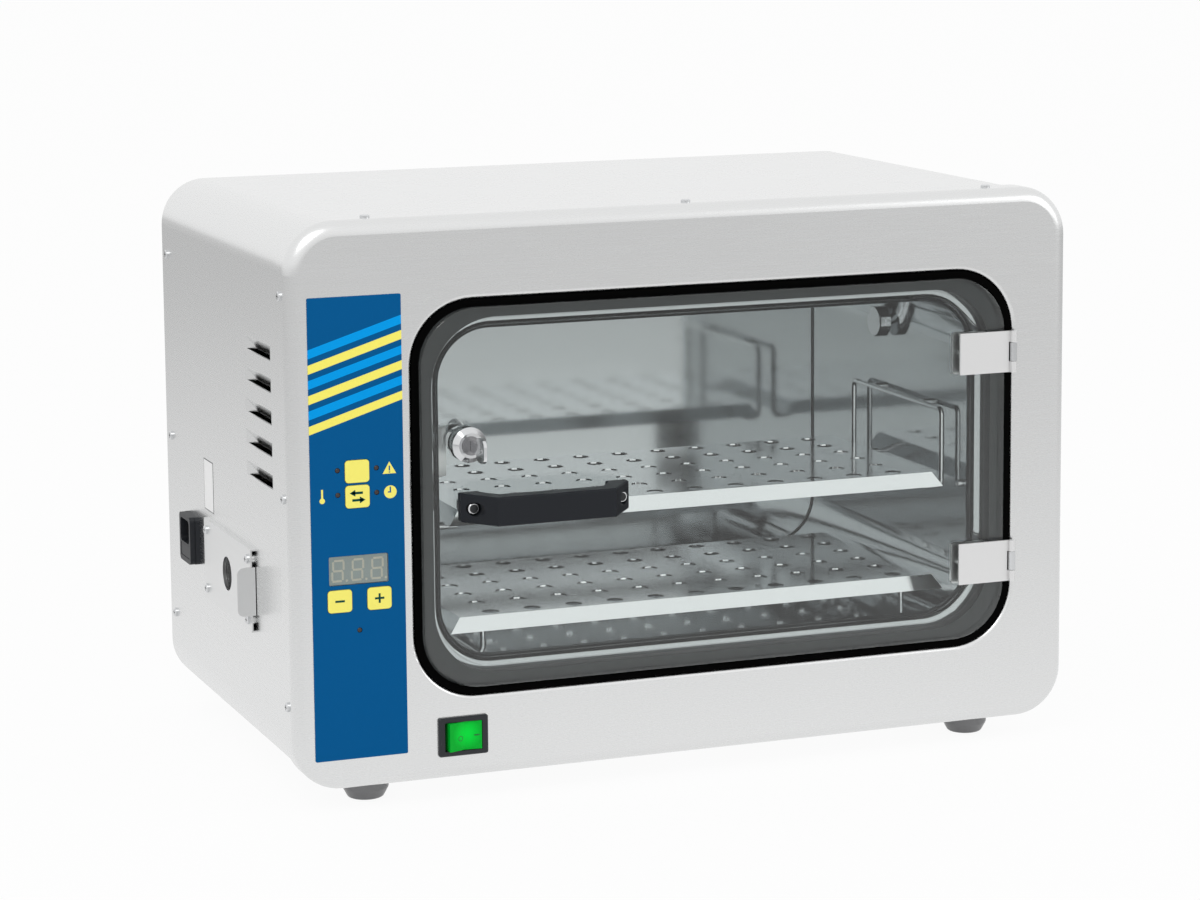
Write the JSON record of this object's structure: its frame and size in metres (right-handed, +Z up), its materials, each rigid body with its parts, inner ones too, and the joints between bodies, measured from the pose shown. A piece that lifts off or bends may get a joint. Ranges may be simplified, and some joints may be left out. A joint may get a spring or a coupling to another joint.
{
  "type": "heating cabinet",
  "caption": "Bench-top laboratory heating cabinet: satin steel case, glass door with bridge handle and cam lock, two perforated shelves, side control panel and air vent.",
  "frame": {"origin": "Below the middle of the whole part, in the plane of the four feet's undersides, on the bench.", "axes": "+X to the right seen from the front, +Y from the door to the back, +Z up. Metres."},
  "size_m": [0.5392, 0.345, 0.3673],
  "materials": {
    "satin_steel": "satin brushed stainless sheet",
    "polished_liner": "bright rolled stainless sheet, nearly mirror-like",
    "bright_wire": "polished wire",
    "zinc_steel": "zinc-plated",
    "glass_clear": "clear tempered glass",
    "gasket_rubber": "matte black silicone",
    "black_plastic": "fine matte black",
    "panel_blue": "semi-gloss blue panel film",
    "key_blue": "lighter blue film over keys",
    "key_yellow": "yellow key film",
    "display_dark": "dark smoked lens",
    "led_lens": "frosted lens",
    "rocker_green": "translucent green",
    "chrome_parts": "polished chrome plating",
    "brass_tin": "tinned brass",
    "mineral_wool": "mineral wool with glass-fibre facing",
    "heater_silicone": "red-brown silicone heating mat",
    "board_green": "green circuit board",
    "rubber_foot": "black rubber",
    "fuse_glass": "clear tube"
  },
  "bodies": {
    "cabinet": {"front_fascia": "satin_steel", "outer_casing": "satin_steel", "base_plate": "satin_steel", "rear_panel": "satin_steel", "foot_front_left": "rubber_foot", "foot_front_right": "rubber_foot", "foot_rear_left": "rubber_foot", "foot_rear_right": "rubber_foot", "foot_screws": "zinc_steel", "case_screws": "zinc_steel", "chamber_liner": "polished_liner", "door_gasket": "gasket_rubber", "insulation_wrap": "mineral_wool", "insulation_rear": "mineral_wool", "heater_bottom": "heater_silicone", "heater_rear": "heater_silicone", "overheat_thermostat": "zinc_steel", "temperature_probe": "chrome_parts", "side_rack_left": "bright_wire", "side_rack_right": "bright_wire", "shelf_runners": "bright_wire", "rack_studs": "zinc_steel", "control_overlay": "panel_blue", "control_board": "board_green", "board_posts": "brass_tin", "display_module": "display_dark", "display_window": "display_dark", "indicator_leds": "led_lens", "switch_housing": "black_plastic", "mains_inlet": "black_plastic", "inlet_pins": "brass_tin", "vent_guide": "satin_steel", "vent_duct": "satin_steel", "power_board": "board_green", "hinge_frame_leaves": "chrome_parts", "lock_keeper": "satin_steel"},
    "door": {"door_glass": "glass_clear", "handle": "black_plastic", "handle_screws": "zinc_steel", "handle_washers": "chrome_parts", "handle_nuts": "chrome_parts", "hinge_door_leaves": "chrome_parts", "hinge_pins": "zinc_steel", "hinge_clamp_plates": "satin_steel", "hinge_screws": "zinc_steel", "lock_body": "chrome_parts", "lock_nut": "chrome_parts"},
    "lock": {"lock_plug": "chrome_parts", "door_key": "chrome_parts", "lock_cam": "chrome_parts"},
    "upper_shelf": {"shelf_upper": "polished_liner"},
    "lower_shelf": {"shelf_lower": "polished_liner"},
    "start_button": {"start_key": "key_yellow"},
    "mode_button": {"mode_key": "key_yellow"},
    "minus_button": {"minus_key": "key_blue"},
    "plus_button": {"plus_key": "key_blue"},
    "rocker": {"power_rocker": "rocker_green"},
    "vent_shutter": {"vent_slider": "satin_steel"},
    "fuse_holder": {"fuse_drawer": "black_plastic", "fuse": "fuse_glass"}
  },
  "joints": [
    {"name": "door_swing", "type": "hinge", "parent": "cabinet", "child": "door", "pos_m": [0.2263, -0.1438, 0.19075], "axis": [0, 0, 1], "range_deg": [0, 115]},
    {"name": "lock_turn", "type": "hinge", "parent": "door", "child": "lock", "pos_m": [-0.1458, -0.1395, 0.22445], "axis": [0, -1, 0], "range_deg": [0, 90]},
    {"name": "upper_shelf_slide", "type": "slide", "parent": "cabinet", "child": "upper_shelf", "axis": [0, -1, 0], "range_m": [0, 0.015]},
    {"name": "lower_shelf_slide", "type": "slide", "parent": "cabinet", "child": "lower_shelf", "axis": [0, -1, 0], "range_m": [0, 0.015]},
    {"name": "start_press", "type": "slide", "parent": "cabinet", "child": "start_button", "axis": [0, 1, 0], "range_m": [0, 0.0005], "stiffness_N_per_m": 400},
    {"name": "mode_press", "type": "slide", "parent": "cabinet", "child": "mode_button", "axis": [0, 1, 0], "range_m": [0, 0.0005], "stiffness_N_per_m": 400},
    {"name": "minus_press", "type": "slide", "parent": "cabinet", "child": "minus_button", "axis": [0, 1, 0], "range_m": [0, 0.0005], "stiffness_N_per_m": 400},
    {"name": "plus_press", "type": "slide", "parent": "cabinet", "child": "plus_button", "axis": [0, 1, 0], "range_m": [0, 0.0005], "stiffness_N_per_m": 400},
    {"name": "rocker_tilt", "type": "hinge", "parent": "cabinet", "child": "rocker", "pos_m": [-0.1517, -0.135, 0.042], "axis": [0, 0, -1], "range_deg": [0, 14]},
    {"name": "vent_slide", "type": "slide", "parent": "cabinet", "child": "vent_shutter", "axis": [0, -1, 0], "range_m": [0, 0.025]},
    {"name": "fuse_drawer_slide", "type": "slide", "parent": "cabinet", "child": "fuse_holder", "axis": [-1, 0, 0], "range_m": [0, 0.018]}
  ]
}
